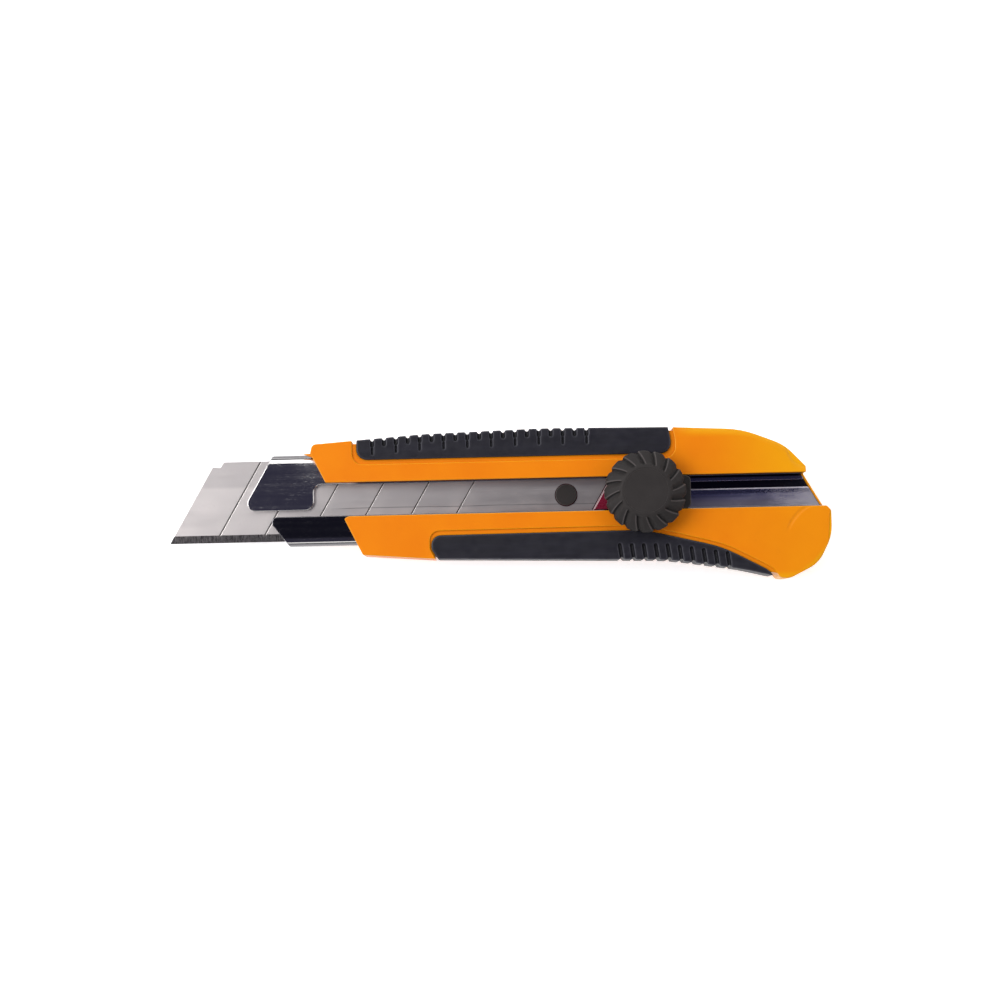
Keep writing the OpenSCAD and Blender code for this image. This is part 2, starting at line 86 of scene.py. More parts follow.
# %% Camera, looking down with a slight lean and a slight turn
handle_low, handle_high = span("handle_body")
POINT = 2.3            # how far a small point reaches ahead of the handle's nose, mm
nose_x, heel_x = handle_low.x + POINT, handle_high.x
VIEW_HEIGHT = 760      # from the blade's plane to the camera, mm
VIEW_WIDTH = 309       # what the frame spans in that plane, mm
LEAN = math.radians(3.4)    # from straight above towards the belly
TURN = math.radians(1.3)    # of the knife in the frame
AIM_X, AIM_Y = -21.85, -1.1    # the place on the knife in the frame's middle, mm
aim = Vector((AIM_X, AIM_Y, span("blade")[1].z)) * MM

camera_data = bpy.data.cameras.new("studio_camera")
camera_data.sensor_width = 36
camera_data.lens = camera_data.sensor_width * VIEW_HEIGHT / VIEW_WIDTH
camera_data.clip_start = 0.01
camera = bpy.data.objects.new("studio_camera", camera_data)
bpy.context.scene.collection.objects.link(camera)
camera.matrix_world = (
    Matrix.Translation(aim)
    @ Matrix.Rotation(LEAN, 4, "X")
    @ Matrix.Rotation(-TURN, 4, "Z")
    @ Matrix.Translation((0, 0, VIEW_HEIGHT * MM))
)
bpy.context.scene.camera = camera
print("camera", [round(v / MM) for v in camera.matrix_world.translation])


# %% Floor
def new_object(name, mesh):
    """An object at the origin, in the scene."""
    obj = bpy.data.objects.new(name, mesh)
    bpy.context.scene.collection.objects.link(obj)
    return obj


def mesh_from(name, bm):
    """A mesh from the editing data in bm, which is let go."""
    mesh = bpy.data.meshes.new(name)
    bm.to_mesh(mesh)
    bm.free()
    return mesh


FLOOR_HALF = 8         # half the floor's side in metres, so that its end never shows
FLOOR_GAP = 0.05       # keeps the floor just clear of the cover that lies on it, mm
floor_bm = bmesh.new()
bmesh.ops.create_grid(floor_bm, x_segments=1, y_segments=1, size=FLOOR_HALF)
bmesh.ops.translate(floor_bm, vec=(0, 0, -FLOOR_GAP * MM), verts=floor_bm.verts)
floor = new_object("studio_floor", mesh_from("studio_floor", floor_bm))
print("floor", 2 * FLOOR_HALF, "m wide")


# %% Soft lights
def softbox(name, place, size, power):
    """A flat light of this size at place (mm), facing the middle of the knife."""
    data = bpy.data.lights.new(name, "AREA")
    data.shape = "RECTANGLE"
    data.size, data.size_y = size[0] * MM, size[1] * MM
    data.energy = power
    lamp = bpy.data.objects.new(name, data)
    bpy.context.scene.collection.objects.link(lamp)
    lamp.location = Vector(place) * MM
    lamp.rotation_euler = (-lamp.location).to_track_quat("-Z", "Y").to_euler()


# Each light's place and size in mm, and its power in watts
LIGHTS = {
    "left_box": ((-900, 150, 760), (900, 1100), 15.5),
    "right_box": ((950, 100, 620), (700, 1000), 5),
    "back_box": ((-50, 800, 760), (1500, 700), 7.5),
    "front_box": ((0, -900, 700), (1500, 600), 4),
}
for name, (place, size, power) in LIGHTS.items():
    softbox(name, place, size, power)

CEILING = (0.035, 0.034, 0.06, 1)      # almost black, a little blue, in linear light
world = bpy.data.worlds.new("dim_studio")
bpy.context.scene.world = world
world.use_nodes = True
ceiling = world.node_tree.nodes["Background"].inputs
ceiling["Color"].default_value = CEILING
ceiling["Strength"].default_value = 1.0
bpy.context.scene.view_settings.view_transform = "Standard"
print("lights:", sorted(LIGHTS))

# %% [markdown]
# ## Tools for the finishes
# Every finish is a tree of nodes fed by the object's own coordinates, so its grain has a real size:
# a 0.3 mm grain stays 0.3 mm on every part. Colours are written as they look on a screen and turned
# into the linear values that light works in by one function.

# %% Colours
def linear(code):
    """A colour such as EA8113 in linear light."""
    parts = [int(code[i:i + 2], 16) / 255 for i in (0, 2, 4)]
    return tuple(c / 12.92 if c <= 0.04045 else ((c + 0.055) / 1.055) ** 2.4 for c in parts) + (1,)


print("mid grey in linear light:", round(linear("808080")[0], 3))

# %% [markdown]
# One function adds every node. The nodes that do most of the work get a short name each: the sums,
# a fade that moves a value from one range to another without overshoot, a blend of two colours,
# cloudy noise, and a turn that also squeezes coordinates, so that a noise comes out as streaks.

# %% Nodes
STEPS = {operation.lower(): ("ShaderNodeMath", {"operation": operation}) for operation in (
    "ADD", "SUBTRACT", "MULTIPLY", "DIVIDE", "POWER", "SQRT", "ABSOLUTE", "MINIMUM", "MAXIMUM",
    "FRACT", "ARCTAN2",
)}
STEPS["fade"] = ("ShaderNodeMapRange", {"interpolation_type": "SMOOTHSTEP"})
STEPS["blend"] = ("ShaderNodeMix", {"data_type": "RGBA"})
STEPS["noise"] = ("ShaderNodeTexNoise", {"noise_dimensions": "4D"})
STEPS["turn"] = ("ShaderNodeMapping", {})
print("short names:", sorted(STEPS))


def add(tree, kind, *values, out=0, **settings):
    """Add a node, by its short name or its full one, and give back its output (or the node itself
    where out is None). Values go to the inputs in order, or by name from a dictionary, and each is
    a constant or the socket that feeds it."""
    kind, usual = STEPS.get(kind, (kind, {}))
    node = tree.nodes.new(kind)
    for key, value in {**usual, **settings}.items():
        setattr(node, key, value)
    if values and isinstance(values[0], dict):
        pairs = [(node.inputs[key], value) for key, value in values[0].items()]
    else:
        pairs = zip([socket for socket in node.inputs if socket.enabled], values)
    for socket, value in pairs:
        if isinstance(value, bpy.types.NodeSocket):
            tree.links.new(value, socket)
        else:
            socket.default_value = value
    if out is None:
        return node
    return node.outputs[out] if out else next(socket for socket in node.outputs if socket.enabled)


# %% A material to start from
def per_grain(size):
    """Scale of a noise whose grain is about size mm."""
    return 1 / (size * MM)


def new_material(name, **shader):
    """A material with its tree, its shader and the object's own coordinates."""
    material = bpy.data.materials.new(name)
    material.use_nodes = True
    tree = material.node_tree
    surface = tree.nodes["Principled BSDF"]
    for key, value in shader.items():
        surface.inputs[key.replace("_", " ")].default_value = value
    place = add(tree, "ShaderNodeTexCoord", out="Object")
    return material, tree, surface, place


def feed(tree, surface, colour, roughness, height):
    """Link colour, roughness and a height in metres to the shader."""
    tree.links.new(colour, surface.inputs["Base Color"])
    tree.links.new(roughness, surface.inputs["Roughness"])
    bump = add(tree, "ShaderNodeBump", {"Height": height, "Distance": 1.0, "Strength": 1.0})
    tree.links.new(bump, surface.inputs["Normal"])


def axes(tree, place):
    """X, Y and Z of the coordinates, in millimetres."""
    split = add(tree, "ShaderNodeSeparateXYZ", place, out=None)
    return [add(tree, "divide", socket, MM) for socket in split.outputs]


def rounded_edges(tree):
    """1 on the rounded edges of a softened part, 0 on its faces."""
    return add(tree, "ShaderNodeAttribute", out="Fac", attribute_name="edge")


# %% [markdown]
# ## Orange ABS
# The handle is injection-moulded ABS. The mould was spark-eroded, which leaves a fine pebbled grain,
# and handling polishes the raised edges, so they are smoother than the faces. Broad, faint clouds are
# the flow of the melt. The rounded edges, the rolled top edge behind the grips and the tail, more on
# its upper side, are painted gold-yellow, a painted highlight. A soft crease at the heel is a sink mark
# where the wall meets the heel's solid corner.

# %% Orange ABS, spark-eroded
orange_abs, tree, surface, place = new_material("orange_abs_moulded", IOR=1.46, Specular_IOR_Level=0.24)
x, y, z = axes(tree, place)
clouds = add(tree, "noise", place, 0, per_grain(14), 3, 0.55)
grain = add(tree, "noise", place, 0, per_grain(0.3), 2, 0.6)
handling = add(tree, "noise", place, 3, per_grain(5), 5, 0.65)
edge = rounded_edges(tree)
print("orange ABS: grain 0.3 mm, clouds 14 mm")

# %% Painted gold-yellow highlight towards the tail, and on the rounded edges
painted_golden_highlight = add(tree, "multiply",
    add(tree, "fade", x, heel_x - 44, heel_x - 8), add(tree, "fade", y, -8, 8, 0.3, 0.9))
painted_golden_highlight = add(tree, "maximum", painted_golden_highlight, add(tree, "fade", edge, 0, 1, 0, 0.8))

# %% How far a point lies inside the handle's outline
# The outline as points in mm: the spine side, then the belly side
outline_top = [
    (-79.4, 17.1), (-62, 18.3), (-45, 19.4), (-8, 20.4), (31, 20), (45, 19.4), (53, 18.7), (60, 16.3),
    (66, 13.3), (72.2, 7),
]
outline_low = [
    (-64, -17.3), (-42, -19), (20, -20.6), (52, -24.1), (66.2, -27.6), (72, -25.2), (75.6, -22),
    (79, -17), (79.9, -7),
]
CURVE_HALF = 90        # the curve below runs from -90 to 90 mm along the handle
CURVE_TALL = 30        # and from 0 to 30 mm off its middle line


def past_outline(points, sign):
    """How deep inside the outline a point lies, in mm, measured straight across."""
    along = add(tree, "ShaderNodeMapRange", x, -CURVE_HALF, CURVE_HALF)
    curve = add(tree, "ShaderNodeFloatCurve", {"Value": along}, out=None)
    line = curve.mapping.curves[0]
    spots = [(0.5 + px / CURVE_HALF / 2, py * sign / CURVE_TALL) for px, py in points]
    line.points[0].location = (0, spots[0][1])
    line.points[1].location = (1, spots[-1][1])
    for spot in spots:
        line.points.new(*spot)
    curve.mapping.update()
    rim = add(tree, "multiply", curve.outputs[0], CURVE_TALL)
    return add(tree, "subtract", rim, add(tree, "multiply", y, sign))


# %% Behind the grips the top edge rolls down, and its roll gets a painted gold-yellow highlight
ROLL_WIDE = 2.4        # the moulding's top edge rolls down over this much, mm
depth_in = add(tree, "minimum", past_outline(outline_top, 1), past_outline(outline_low, -1))
roll = add(tree, "maximum", add(tree, "subtract", ROLL_WIDE, depth_in), 0)
roll = add(tree, "power", add(tree, "minimum", roll, ROLL_WIDE), 2)
roll = add(tree, "multiply", roll, -0.05 * MM)
roll = add(tree, "multiply", roll,
    add(tree, "multiply",
        add(tree, "fade", x, heel_x - 50, heel_x - 46), add(tree, "fade", z, 14, 16)))
painted_golden_highlight = add(tree, "maximum", painted_golden_highlight,
    add(tree, "multiply",
        add(tree, "fade", depth_in, 0.3, 3.6, 1, 0),
        add(tree, "fade", x, heel_x - 50, heel_x - 40)))
print("rolled edge:", ROLL_WIDE, "mm wide")

# %% Colours, the sink mark and the grain
colour = add(tree, "blend", add(tree, "fade", clouds, 0.3, 0.7), linear("D97404"), linear("DD7B05"))
colour = add(tree, "blend", add(tree, "multiply", painted_golden_highlight, 0.9), colour, linear("DF9A04"))
colour = add(tree, "blend",
    add(tree, "fade", handling, 0.62, 0.85, 0, 0.25), colour, linear("A85A10"))
CREASE_R = 13.5        # the sink mark is an arc of this radius about a point at the heel, mm
CREASE_X, CREASE_Y = heel_x - 0.8, -17.2
off_x = add(tree, "power", add(tree, "subtract", x, CREASE_X), 2)
off_y = add(tree, "power", add(tree, "subtract", y, CREASE_Y), 2)
reach = add(tree, "sqrt", add(tree, "add", off_x, off_y))
off_crease = add(tree, "absolute", add(tree, "subtract", reach, CREASE_R))
on_heel = add(tree, "multiply",
    add(tree, "fade", x, heel_x - 18, heel_x - 12), add(tree, "fade", y, -14, -10, 0, 1))
on_heel = add(tree, "multiply", on_heel, add(tree, "fade", y, -5.6, -4.6, 1, 0))
crease = add(tree, "multiply", add(tree, "fade", off_crease, 0, 0.9, -0.16 * MM, 0), on_heel)
pebbles = add(tree, "add", add(tree, "multiply", grain, 0.008 * MM), roll)
feed(tree, surface, colour,
    add(tree, "add",
        add(tree, "fade", grain, 0.3, 0.7, 0.33, 0.4), add(tree, "fade", edge, 0, 1, 0, -0.08)),
    add(tree, "add", pebbles, crease))
print("sink mark: radius", CREASE_R, "mm")

# %% [markdown]
# ## Grip rubber
# The grips are a thermoplastic rubber moulded over the ABS. It is almost black with a violet cast,
# matt from a coarser grain, with a little dust; its exposed ribs get a painted highlight and its
# hollows a painted shade.

# %% Thermoplastic rubber, moulded
grip_rubber, tree, surface, place = new_material("grip_rubber_moulded", IOR=1.5, Specular_IOR_Level=0.3)
grain = add(tree, "noise", place, 0, per_grain(0.22), 3, 0.65)
dust = add(tree, "noise", place, 2, per_grain(2.5), 6, 0.7)
drawn = add(tree, "turn",
    {"Vector": place, "Rotation": (0, 0, math.radians(2)), "Scale": (0.15, 1, 1)})
streaks = add(tree, "noise", drawn, 5, per_grain(1.6), 4, 0.6)
edge = rounded_edges(tree)
colour = add(tree, "blend",
    add(tree, "fade", streaks, 0.35, 0.7), linear("14131B"), linear("1B1A23"))
# Painted highlight on the exposed ribs, then painted shade in the hollows
colour = add(tree, "blend", add(tree, "fade", edge, 0.05, 0.9, 0, 0.8), colour, linear("35343C"))
colour = add(tree, "blend", add(tree, "fade", edge, -0.7, -0.05, 0.85, 0), colour, linear("08070B"))
colour = add(tree, "blend", add(tree, "fade", dust, 0.62, 0.85, 0, 0.3), colour, linear("3E3B43"))
feed(tree, surface, colour,
    add(tree, "fade", dust, 0.35, 0.75, 0.42, 0.62), add(tree, "multiply", grain, 0.012 * MM))
print("grip rubber: grain 0.22 mm")

# %% [markdown]
# ## Polished channel
# The channel is stainless sheet, polished before it was folded. A polished sheet shows the dark
# ceiling, so it looks navy or black, and only what is tilted catches a lamp: the bends, which start
# as a gentle crown inside the edge, and the rounded rims. Use leaves hair scratches in swirls on the
# guide at the mouth, and a grey haze at the tail where the slider's key has rubbed the floor. The
# colours also hold painted light: a bluish painted reflection on the floor, a painted bright line
# beside its groove and painted highlights on the bends, and painted shade in the groove, under the
# upper rail, on the lower lip, on the outer sides and on the rounded edges.

# %% Stainless sheet, polished and rubbed
channel_steel, tree, surface, place = new_material("stainless_sheet_polished", Metallic=1.0)
x, y, z = axes(tree, place)
LIP_UNDER, LIP_TOP = 10.6, 11.6      # below the first is the channel's floor, above the second its lips
# The groove is painted shade, and the line beside it a painted highlight
GROOVE = (1.05, 3.6)                 # the dark groove along the floor lies between these, in Y
BRIGHT_LINE_Y = 0.98                         # and a bright line runs beside it
SLOT_SIDE = 5.0                      # the shadow under the upper rail starts here, in Y
channel_half = span("blade_channel")[1].y
lips = add(tree, "fade", z, LIP_UNDER, LIP_TOP)
# A crown inside each bend, which starts 12 mm from the middle at the belly, 10.4 at the spine
side = add(tree, "absolute", y)
past = add(tree, "maximum", add(tree, "subtract", side, add(tree, "fade", y, -1, 1, 12.0, 10.4)), 0)
crown = add(tree, "multiply", add(tree, "power", past, 2), -0.08 * MM)
drawn = add(tree, "turn", {"Vector": place, "Scale": (0.02, 1, 1)})
rolling = add(tree, "noise", drawn, 0, per_grain(0.9), 3, 0.6)
print("channel steel: rolling lines 0.9 mm apart, lips above", LIP_UNDER, "mm")

# %% Hair scratches in swirls, and haze of fine specks on the floor
swirl = add(tree, "ShaderNodeTexNoise", {"Vector": place, "Scale": 110}, out="Color")
swirl = add(tree, "ShaderNodeVectorMath", {0: swirl, "Scale": 3.5 * MM}, operation="SCALE")
bent = add(tree, "ShaderNodeVectorMath", place, swirl, operation="ADD")
drawn = add(tree, "turn",
    {"Vector": bent, "Rotation": (0, 0, math.radians(-38)), "Scale": (0.06, 1, 1)})
hairs = add(tree, "noise", drawn, 0, per_grain(0.2), 2, 0.6)
drawn = add(tree, "turn",
    {"Vector": bent, "Rotation": (0, 0, math.radians(-15)), "Scale": (0.05, 1, 1)})
hairs = add(tree, "maximum", hairs, add(tree, "noise", drawn, 4, per_grain(0.2), 2, 0.6))
hairs = add(tree, "multiply",
    add(tree, "fade", hairs, 0.5, 0.8),
    add(tree, "fade", add(tree, "noise", place, 0, per_grain(4), 2, 0.5), 0.3, 0.6))
floor_part = add(tree, "subtract", 1.0, lips)
rear = add(tree, "fade", x, heel_x - 36, heel_x - 2)
drawn = add(tree, "turn", {"Vector": place, "Scale": (0.5, 1, 1)})
specks = add(tree, "noise", drawn, 7, per_grain(0.16), 2, 0.7)
drawn = add(tree, "turn", {"Vector": place, "Scale": (0.4, 1, 1)})
patches = add(tree, "noise", drawn, 9, per_grain(3.5), 3, 0.6)
haze = add(tree, "add",
    add(tree, "multiply", specks, 0.8),
    add(tree, "add", add(tree, "multiply", patches, 0.5), add(tree, "multiply", rear, 0.34)))
haze = add(tree, "multiply",
    add(tree, "fade", haze, 0.72, 1.16),
    add(tree, "multiply", floor_part, add(tree, "fade", y, 0.8, 1.1, 1, 0.2)))
print("scratches 0.2 mm wide, haze specks 0.16 mm")

# %% The floor's groove in painted shade, a painted bright line beside it, and a painted shadow under the upper rail
groove = add(tree, "multiply", floor_part,
    add(tree, "multiply",
        add(tree, "fade", y, GROOVE[0], GROOVE[0] + 0.3),
        add(tree, "fade", y, GROOVE[1] - 0.4, GROOVE[1], 1, 0)))
painted_bright_line = add(tree, "multiply", floor_part,
    add(tree, "fade", add(tree, "absolute", add(tree, "subtract", y, BRIGHT_LINE_Y)), 0.1, 0.3, 1, 0))
under_rail = add(tree, "multiply",
    add(tree, "fade", x, nose_x + 12, nose_x + 15),
    add(tree, "fade", add(tree, "absolute", add(tree, "subtract", y, SLOT_SIDE)), 0.35, 0.5, 1, 0))
# A scuffed patch on the guide, next to the handle's nose
by_nose = add(tree, "multiply",
    add(tree, "fade", x, nose_x - 9, nose_x + 1), add(tree, "fade", y, 4, 8))
by_nose = add(tree, "multiply",
    add(tree, "multiply", by_nose, lips), add(tree, "fade", patches, 0.25, 0.6, 0.5, 1))
drawn = add(tree, "turn", {"Vector": place, "Scale": (0.01, 1, 1)})
streak = add(tree, "noise", drawn, 11, per_grain(1.7), 2, 0.5)
print("groove from", GROOVE[0], "to", GROOVE[1], "mm")

# %% Colours: a bluish painted reflection on the floor, then the lips, then the marks over both
tint = add(tree, "blend", add(tree, "fade", y, -3.9, -0.6), linear("9A97AC"), linear("7F7EA6"))
# Painted highlight: the floor turns white by the lower lip's edge
tint = add(tree, "blend", add(tree, "fade", y, -5.1, -4.1), linear("FFFFFF"), tint)
# Painted shade in the groove
tint = add(tree, "blend", groove, tint, linear("2F2D3C"))
tint = add(tree, "blend", floor_part, linear("E0DEDC"), tint)
# Painted shade: the lower lip is darker than the upper one
lower = add(tree, "multiply", add(tree, "fade", y, -4, -3, 1, 0), lips)
lower = add(tree, "multiply", lower, add(tree, "fade", side, 11.2, 12.4, 1, 0))
colour = add(tree, "blend", add(tree, "multiply", lower, 0.9), tint, linear("57575C"))
colour = add(tree, "blend", haze, colour, linear("A9A7AE"))
# Painted highlight: the bright line beside the groove
colour = add(tree, "blend", painted_bright_line, colour, linear("DAD8E0"))
colour = add(tree, "blend", under_rail, colour, linear("24233A"))
# Painted shade on the outer sides, past the bends
rim = add(tree, "fade", side, channel_half - 1.35, channel_half - 0.6)
# Painted highlight on the bends
colour = add(tree, "blend", add(tree, "fade", side, 11.4, 12.2, 0, 0.5), colour, linear("B5B2AF"))
colour = add(tree, "blend", add(tree, "multiply", rim, 0.9), colour, linear("5C5B5E"))
# Painted shade on the rounded edges
colour = add(tree, "blend",
    add(tree, "fade", rounded_edges(tree), 0.1, 1, 0, 0.3), colour, linear("77757A"))
print("channel is", round(2 * channel_half, 1), "mm wide")

# %% What is worn is rougher
worn = add(tree, "add",
    add(tree, "multiply", add(tree, "multiply", hairs, lips), 0.16),
    add(tree, "multiply", haze, 0.32))
worn = add(tree, "add", worn,
    add(tree, "add", add(tree, "multiply", painted_bright_line, 0.4), add(tree, "multiply", by_nose, 0.09)))
below = add(tree, "multiply", floor_part, add(tree, "fade", y, -2.2, 0.6, 1, 0.45))
worn = add(tree, "add", worn,
    add(tree, "multiply", below, add(tree, "fade", streak, 0.3, 0.7, 0.16, 0.26)))
feed(tree, surface, colour,
    add(tree, "add", worn, add(tree, "fade", rolling, 0.3, 0.7, 0.07, 0.13)),
    add(tree, "add",
        add(tree, "multiply", crown, lips),
        add(tree, "add",
            add(tree, "multiply", streak, 0.05 * MM), add(tree, "multiply", haze, 0.01 * MM))))
print("channel steel links:", len(tree.links))

# %% [markdown]
# ## Blade steel
# The blade is hardened carbon strip. Its faces are ground along their length, which draws fine
# streaks and spreads highlights across them, and the blade has been used, so a few long scratches
# and smudges lie on it. A darker band along the upper lip is both a mark where the lip rubs and
# painted shade; the score lines carry painted shade, and the face is painted darker towards the tail,
# with a painted sheen on its rubbed bands there. The cutting bevel is ground across the edge, and its
# short marks stand upright. It leans away from the lamps, and its colour is painted much darker than
# the face, a painted shade.

# %% Carbon steel strip, ground lengthways
blade_steel, tree, surface, place = new_material("blade_steel_ground", Metallic=1.0)
x, y, z = axes(tree, place)
drawn = add(tree, "turn", {"Vector": place, "Scale": (0.012, 1, 1)})
grind = add(tree, "noise", drawn, 0, per_grain(0.16), 4, 0.7)
drawn = add(tree, "turn", {"Vector": place, "Scale": (0.06, 1, 1)})
bands = add(tree, "noise", drawn, 2, per_grain(2.2), 3, 0.6)
smudge = add(tree, "noise", place, 4, per_grain(7), 4, 0.6)
# One long scratch, 2.6 mm below the middle, that wanders by 0.2 mm
wander = add(tree, "fade", add(tree, "noise", place, 0, per_grain(20), 1, 0.4), 0.3, 0.7)
long_line = add(tree, "add", y, add(tree, "multiply", wander, 0.2))
long_line = add(tree, "absolute", add(tree, "add", long_line, 2.6))
scratch = add(tree, "multiply",
    add(tree, "fade", long_line, 0.0, 0.22, 1, 0),
    add(tree, "multiply",
        add(tree, "fade", x, nose_x + 4, nose_x + 9), add(tree, "fade", bands, 0.35, 0.55)))
print("blade steel: grind lines 0.16 mm, bands 2.2 mm")

# %% Blade colours, the painted shade in the score lines and a painted sheen
rear = add(tree, "fade", x, nose_x + 20, nose_x + 90)
# Painted shade: the face is darker towards the tail
colour = add(tree, "blend",
    add(tree, "fade", x, nose_x - 18, nose_x + 8), linear("E9E2DF"), linear("D3CDCB"))
colour = add(tree, "blend", rear, colour, linear("B4AEAD"))
colour = add(tree, "blend", add(tree, "fade", smudge, 0.5, 0.8, 0, 0.3), colour, linear("C9BFBC"))
colour = add(tree, "blend", add(tree, "multiply", scratch, 0.7), colour, linear("6E6A6A"))
# A darker band along the upper lip, both a mark where the lip rubs and painted shade
colour = add(tree, "blend", add(tree, "fade", y, 3.8, 5.2, 0, 0.22), colour, linear("8E8B8F"))
# The score lines get a painted shade, since they dip under the face
blade_top = span("blade")[1].z
painted_score_shade = add(tree, "fade", z, blade_top - 0.05, blade_top - 0.004, 1, 0)
colour = add(tree, "blend", add(tree, "multiply", painted_score_shade, 0.92), colour, linear("3F3C3C"))
# A painted sheen on the rubbed bands towards the tail
rubbed_bands_painted_sheen = add(tree, "multiply",
    add(tree, "fade", bands, 0.5, 0.75), add(tree, "fade", grind, 0.45, 0.65))
colour = add(tree, "blend",
    add(tree, "multiply", rubbed_bands_painted_sheen, add(tree, "multiply", rear, 0.35)), colour, linear("FFFFFF"))
feed(tree, surface, colour,
    add(tree, "add",
        add(tree, "fade", bands, 0.3, 0.7, 0.36, 0.39),
        add(tree, "add",
            add(tree, "fade", smudge, 0.4, 0.8, 0, 0.04), add(tree, "multiply", painted_score_shade, 0.25))),
    add(tree, "multiply", grind, 0.004 * MM))
print("score lines dark below", round(blade_top - 0.05, 2), "mm")

# %% Cutting bevel, ground across
edge_steel, tree, surface, place = new_material("bevel_steel_ground", Metallic=1.0)
drawn = add(tree, "turn", {"Vector": place, "Scale": (1, 0.03, 1)})
marks = add(tree, "noise", drawn, 0, per_grain(0.35), 4, 0.8)
patches = add(tree, "noise", place, 3, per_grain(1.6), 3, 0.6)
# The bevel's colours are painted darker than the face, a painted shade
colour = add(tree, "blend",
    add(tree, "fade", marks, 0.35, 0.65), linear("6B6767"), linear("A19C9B"))
colour = add(tree, "blend",
    add(tree, "fade", patches, 0.35, 0.75, 0, 0.5), colour, linear("5A5757"))
feed(tree, surface, colour,
    add(tree, "fade", marks, 0.3, 0.7, 0.24, 0.38), add(tree, "multiply", marks, 0.01 * MM))
print("bevel: marks 0.35 mm")

# %% [markdown]
# ## Knob nylon
# Knob, cap, stud and clamp plate are glass-filled nylon, a warm dark grey. The glass breaks up the
# surface, so it is matt with faint pale flecks. The crests and rounded edges get a painted highlight,
# the grooves a painted shade, and the sloping ring is painted darker than the cap, a painted shade.

# %% Glass-filled nylon, moulded
knob_nylon, tree, surface, place = new_material("knob_nylon_moulded", IOR=1.5, Specular_IOR_Level=0.25)
z = axes(tree, place)[2]
knob_top = span("knob")[1].z
grain = add(tree, "noise", place, 0, per_grain(0.28), 3, 0.7)
drawn = add(tree, "turn",
    {"Vector": place, "Rotation": (0, 0, math.radians(20)), "Scale": (0.4, 1, 1)})
flecks = add(tree, "noise", drawn, 6, per_grain(0.35), 2, 0.7)
grease = add(tree, "noise", place, 8, per_grain(3.5), 4, 0.6)
edge = rounded_edges(tree)
colour = add(tree, "blend",
    add(tree, "fade", grease, 0.3, 0.75), linear("252120"), linear("2B2726"))
colour = add(tree, "blend", add(tree, "fade", flecks, 0.62, 0.8, 0, 0.35), colour, linear("3E3938"))
# Painted shade: the sloping ring is darker than the cap
painted_slope_shade = add(tree, "fade", z, knob_top - 0.9, knob_top - 0.1, 1, 0)
colour = add(tree, "blend", add(tree, "multiply", painted_slope_shade, 0.3), colour, linear("191716"))
# Painted highlight on the rounded edges and crests, then painted shade in the grooves
colour = add(tree, "blend", add(tree, "fade", edge, 0.35, 1, 0, 0.6), colour, linear("544E4D"))
colour = add(tree, "blend", add(tree, "fade", edge, -1, 0, 0.85, 0), colour, linear("0C0B0B"))
feed(tree, surface, colour,
    add(tree, "fade", grease, 0.3, 0.7, 0.6, 0.72), add(tree, "multiply", grain, 0.012 * MM))
print("knob nylon: grain 0.28 mm, flecks 0.35 mm")

# %% [markdown]
# ## The small parts' finishes
# The slider is crimson acetal, a slippery plastic with a waxy gloss. The screws, rivets and clamp
# bolt are zinc plated, which gives a cool grey with cloudy crystals. The springs are oiled blue-grey
# steel with lines from rolling. The insert is turned brass with rings, and the washer natural
# nylon. The floor is white acrylic with a faint light below it, which keeps shadows thin.

# %% One recipe for several plain finishes
def plain_finish(name, low, high, size, rough, stretch=(1, 1, 1), bump=0.004, metal=0.0):
    """Two close colours in clouds of a real size, with its own gloss and relief."""
    material, tree, surface, place = new_material(name, Metallic=metal)
    drawn = add(tree, "turn", {"Vector": place, "Scale": stretch})
    clouds = add(tree, "noise", drawn, 0, per_grain(size), 4, 0.6)
    fine = add(tree, "noise", drawn, 1, per_grain(size / 6), 3, 0.6)
    colour = add(tree, "blend", add(tree, "fade", clouds, 0.3, 0.7), linear(low), linear(high))
    # Painted highlight: the rounded edges are lighter
    colour = add(tree, "blend",
        add(tree, "fade", rounded_edges(tree), 0, 1, 0, 0.3), colour, linear("FFFFFF"))
    feed(tree, surface, colour,
        add(tree, "fade", fine, 0.3, 0.7, rough - 0.06, rough + 0.06),
        add(tree, "multiply", fine, bump * MM))
    return material


slider_acetal = plain_finish("slider_acetal_moulded", "5E0A22", "6E0C29", 3, 0.3)
zinc_steel = plain_finish("zinc_plate_bright", "B9BCC2", "D5D6D8", 0.8, 0.28, metal=1.0)
spring_steel = plain_finish("spring_steel_rolled", "7F828A", "A2A4A8", 1.2, 0.3, (0.1, 1, 1), metal=1.0)
brass = plain_finish("brass_turned", "C79A4B", "DDB566", 0.7, 0.26, (1, 1, 8), metal=1.0)
washer_nylon = plain_finish("washer_nylon_natural", "D8D2BF", "E6E1D2", 1.5, 0.45)
paper = plain_finish("studio_acrylic_lit", "F4F4F4", "F7F7F7", 60, 0.75, bump=0.0)
glow = paper.node_tree.nodes["Principled BSDF"].inputs
glow["Emission Color"].default_value = (1, 1, 1, 1)
glow["Emission Strength"].default_value = 0.5
floor.data.materials.append(paper)
print("materials:", [m.name for m in bpy.data.materials])


# %% [markdown]
# ## Softened parts
# No moulded or pressed part has a knife-sharp corner. Each part that shows is copied, its facets are
# merged into clean faces, and every corner that stands out gets a small round. It remembers where
# the rounds are, in an attribute called edge, and the finishes use it for polish and for painted
# highlights and shade. Where two corners lie closer than a round is wide, its faces would fold over,
# so the points there are welded first.

# %% Copy a part's mesh, and work modifiers into one
MERGE = 0.002          # points this close are one point, mm
FLAT = 0.5             # facets that turn by less than this are one face, degrees


